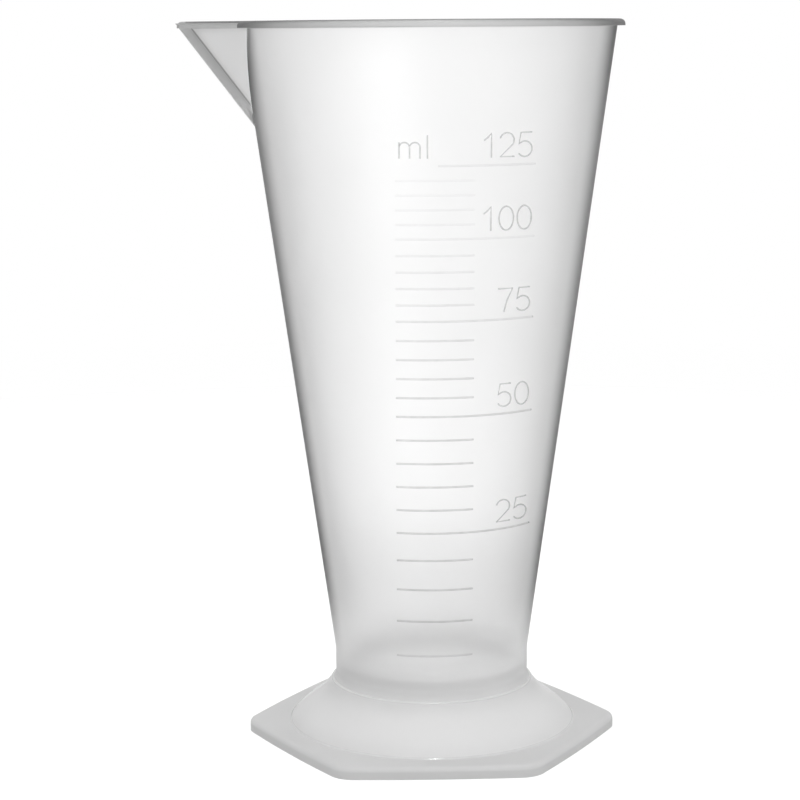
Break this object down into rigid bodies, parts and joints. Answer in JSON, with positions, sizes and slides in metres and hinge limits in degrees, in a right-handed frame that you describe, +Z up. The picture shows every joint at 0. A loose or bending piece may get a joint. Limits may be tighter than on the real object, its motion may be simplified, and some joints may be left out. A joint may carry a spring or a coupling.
{
  "type": "conical graduate",
  "caption": "Conical measuring cup with a V pouring spout, a raised millilitre scale and a hollow six-sided foot, for measuring and pouring liquids.",
  "frame": {"origin": "under the middle of the whole part's box, on the surface that the foot stands on; the cup's axis stands 4.69 mm towards +X of it, because the spout sticks out at -X", "axes": "+Z up along the cup's axis, -X towards the spout's tip, -Y towards the reader of the scale"},
  "size_m": [0.0744, 0.065, 0.1217],
  "materials": {
    "cup_plastic": "natural translucent polypropylene, satin, slightly glossy",
    "foot_plastic": "natural translucent polypropylene, satin, slightly glossy"
  },
  "bodies": {
    "root": {"vessel": "cup_plastic", "foot": "foot_plastic"}
  },
  "joints": []
}
